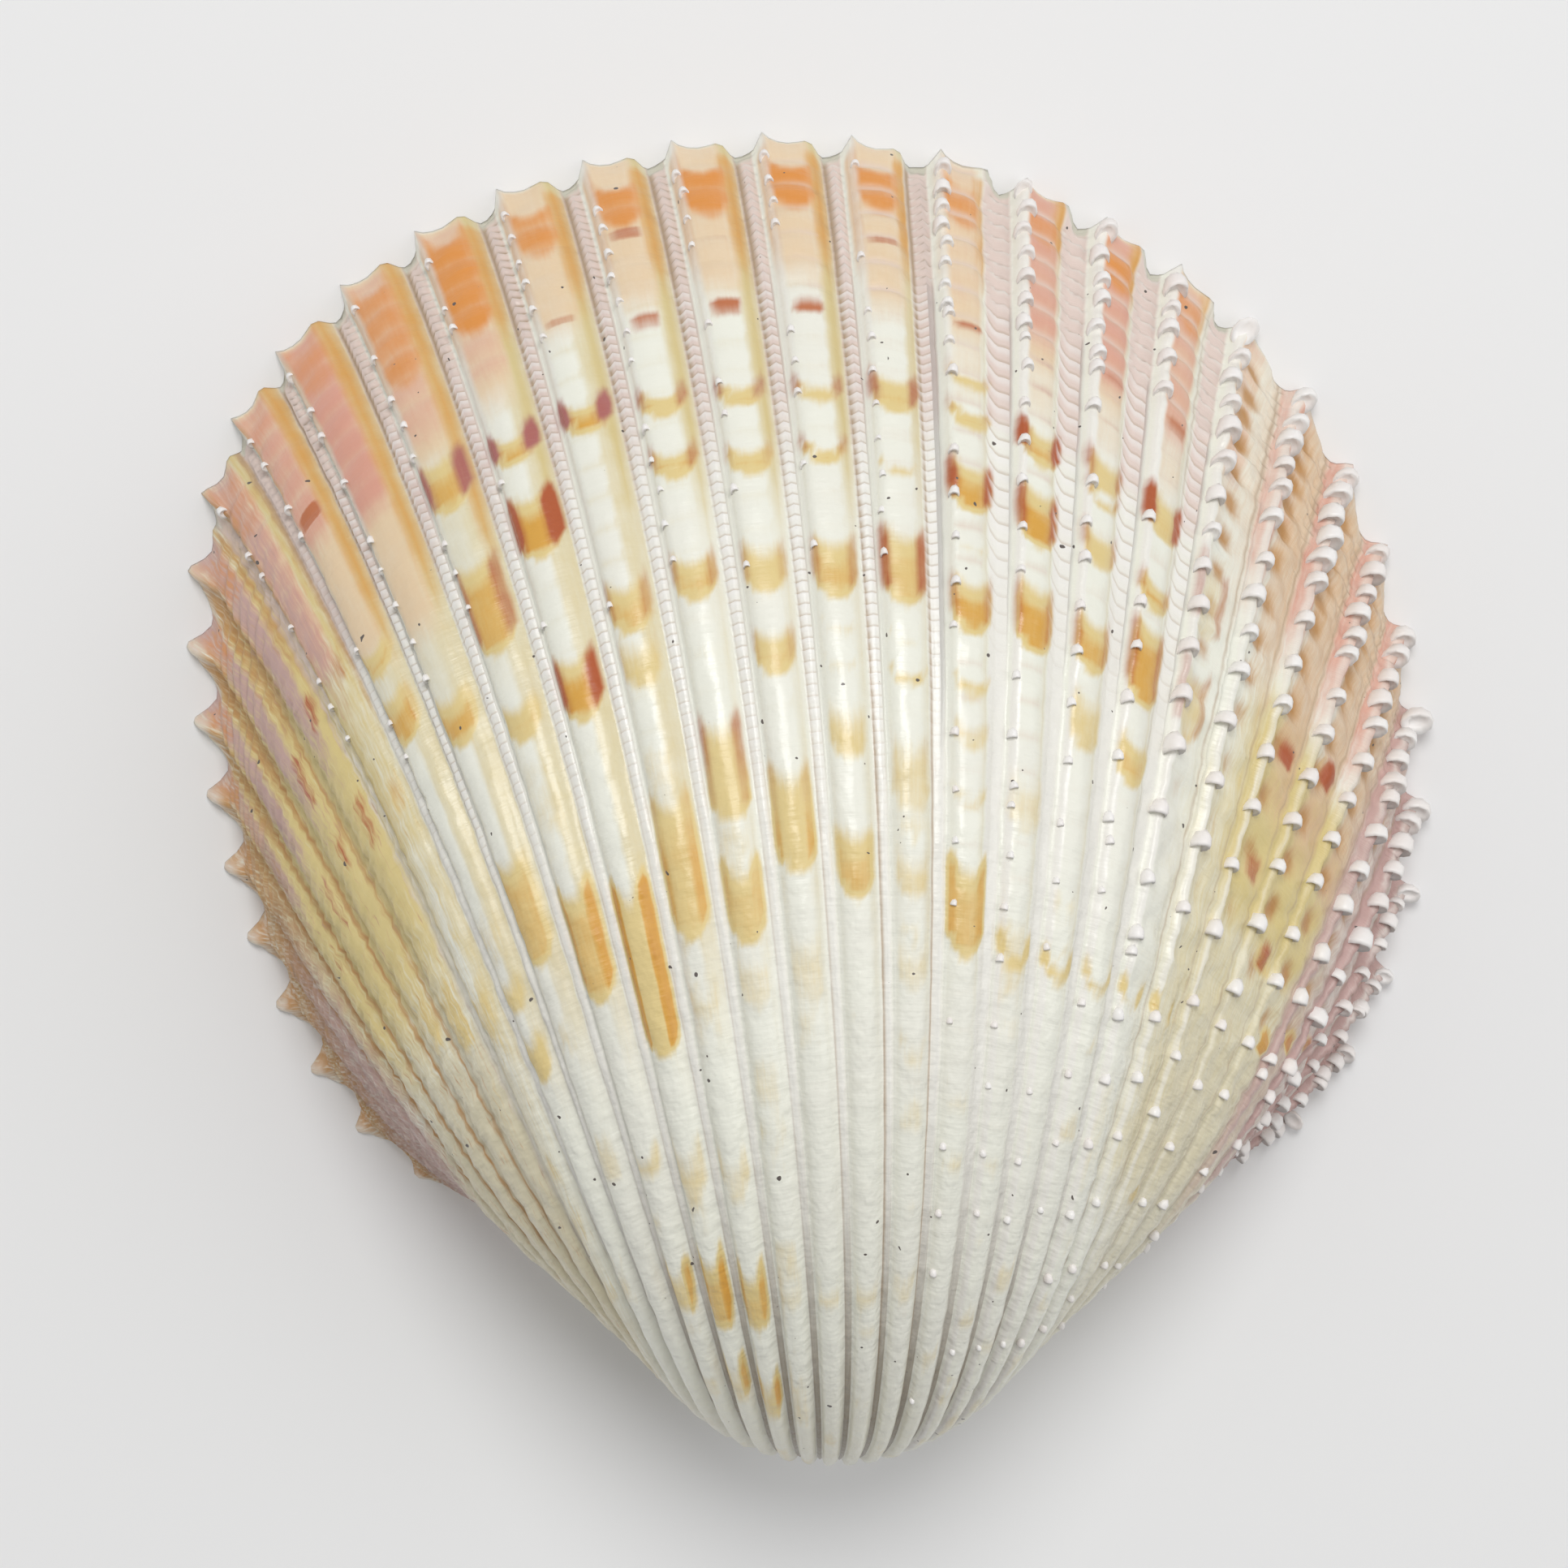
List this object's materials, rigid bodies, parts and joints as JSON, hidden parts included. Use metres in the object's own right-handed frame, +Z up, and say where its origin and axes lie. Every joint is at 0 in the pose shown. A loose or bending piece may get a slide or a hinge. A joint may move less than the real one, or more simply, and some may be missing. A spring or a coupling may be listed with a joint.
{
  "type": "cockle shell valve",
  "caption": "One valve of a prickly cockle: a ribbed dome with a curled beak, hollow below, that rests on its scalloped margin.",
  "frame": {"origin": "on the resting plane, at the centre of the valve's footprint", "axes": "+Z up out of the dome; +Y from the beak to the lower margin; +X to the right, seen from above with the beak nearest"},
  "size_m": [0.051, 0.0542, 0.0204],
  "materials": {
    "shell": "satin"
  },
  "bodies": {
    "root": {"valve": "shell"}
  },
  "joints": []
}
